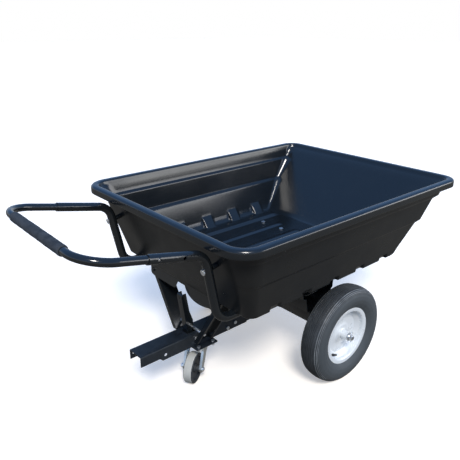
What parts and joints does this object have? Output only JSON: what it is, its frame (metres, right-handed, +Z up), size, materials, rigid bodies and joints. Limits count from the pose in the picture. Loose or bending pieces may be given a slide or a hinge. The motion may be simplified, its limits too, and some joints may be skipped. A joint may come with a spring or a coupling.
{
  "type": "garden cart",
  "caption": "Garden cart with a tipping plastic tub, pneumatic wheels, a tow tongue on a swivel caster, a foot latch and a telescoping push handle.",
  "frame": {"origin": "on the ground under the middle of the whole cart's box", "axes": "+X forwards, to the push handle and the tow hitch; +Y the cart's left side; +Z up"},
  "size_m": [1.6216, 0.952, 0.7897],
  "materials": {
    "tub_poly": "satin moulded polyethylene with light scuffs",
    "frame_black": "gloss black powder coat",
    "tongue_steel": "satin charcoal powder coat",
    "zinc": "bright zinc plate",
    "caster_zinc": "zinc plated pressed steel",
    "axle_steel": "zinc plated bar",
    "spring_steel": "plain spring steel",
    "button_chrome": "polished",
    "grip_foam": "matte closed-cell foam",
    "rim_silver": "pale silver gloss paint",
    "tyre": "matte rubber with ribbed tread",
    "inner_tube_rubber": "smooth butyl rubber",
    "valve_rubber": "smooth rubber and plastic cap",
    "nylon": "natural black nylon",
    "caster_core_plastic": "moulded dark plastic",
    "caster_tread_rubber": "light grey non-marking rubber"
  },
  "bodies": {
    "chassis": {"tongue": "tongue_steel", "rear_tongue": "tongue_steel", "tongue_bolts": "zinc", "axle": "axle_steel", "axle_sleeve": "frame_black", "axle_washers": "zinc", "cotter_pins": "zinc", "caster_mount_plate": "tongue_steel", "caster_top_plate": "caster_zinc", "caster_bolts": "zinc", "caster_kingpin": "zinc", "latch_pivot_bolt": "zinc"},
    "bed": {"tub": "tub_poly", "left_frame_tube": "frame_black", "right_frame_tube": "frame_black", "front_cross_member": "frame_black", "left_brace": "frame_black", "right_brace": "frame_black", "strike_pin": "zinc", "brace_bolts": "frame_black", "axle_carrier": "frame_black", "left_axle_bracket": "frame_black", "right_axle_bracket": "frame_black", "axle_bushings": "nylon", "wall_spacers": "frame_black", "wall_bolts": "zinc", "rear_floor_bolts": "zinc", "front_floor_bolts": "zinc", "floor_spacers": "nylon", "tube_saddles": "frame_black"},
    "handle": {"handle_tube": "frame_black", "foam_grip": "grip_foam", "left_button_spring": "spring_steel", "right_button_spring": "spring_steel"},
    "left_button": {"left_snap_button": "button_chrome"},
    "right_button": {"right_snap_button": "button_chrome"},
    "latch": {"latch_lever": "frame_black"},
    "left_wheel": {"left_rim": "rim_silver", "left_hub": "rim_silver", "left_wheel_bearings": "nylon", "left_tyre": "tyre", "left_inner_tube": "inner_tube_rubber", "left_valve_stem": "valve_rubber"},
    "right_wheel": {"right_rim": "rim_silver", "right_hub": "rim_silver", "right_wheel_bearings": "nylon", "right_tyre": "tyre", "right_inner_tube": "inner_tube_rubber", "right_valve_stem": "valve_rubber"},
    "caster_swivel": {"caster_fork": "caster_zinc", "caster_race": "caster_zinc", "caster_balls": "button_chrome", "caster_axle_bolt": "zinc"},
    "caster_wheel": {"caster_core": "caster_core_plastic", "caster_tread": "caster_tread_rubber", "caster_bushing": "nylon"}
  },
  "joints": [
    {"name": "bed_tip", "type": "hinge", "parent": "chassis", "child": "bed", "pos_m": [-0.20975, 0, 0.2], "axis": [0, -1, 0], "range_deg": [0, 50]},
    {"name": "handle_slide", "type": "slide", "parent": "bed", "child": "handle", "axis": [0.9774, 0, 0.2113], "range_m": [-0.088, 0]},
    {"name": "left_button_press", "type": "slide", "parent": "handle", "child": "left_button", "axis": [0, 1, 0], "range_m": [0, 0.005], "stiffness_N_per_m": 400, "springref_m": 0.008},
    {"name": "right_button_press", "type": "slide", "parent": "handle", "child": "right_button", "axis": [0, -1, 0], "range_m": [0, 0.005], "stiffness_N_per_m": 400, "springref_m": 0.008},
    {"name": "latch_hinge", "type": "hinge", "parent": "chassis", "child": "latch", "pos_m": [0.25325, 0, 0.203], "axis": [0, -1, 0], "range_deg": [0, 12]},
    {"name": "left_wheel_spin", "type": "hinge", "parent": "chassis", "child": "left_wheel", "pos_m": [-0.20975, 0.375, 0.2], "axis": [0, 1, 0], "continuous": true},
    {"name": "right_wheel_spin", "type": "hinge", "parent": "chassis", "child": "right_wheel", "pos_m": [-0.20975, -0.375, 0.2], "axis": [0, 1, 0], "continuous": true},
    {"name": "caster_turn", "type": "hinge", "parent": "chassis", "child": "caster_swivel", "pos_m": [0.22025, 0, 0.16], "axis": [0, 0, 1], "continuous": true},
    {"name": "caster_wheel_spin", "type": "hinge", "parent": "caster_swivel", "child": "caster_wheel", "pos_m": [0.26009, 0.023, 0.0625], "axis": [-0.5, 0.866, 0], "continuous": true}
  ]
}
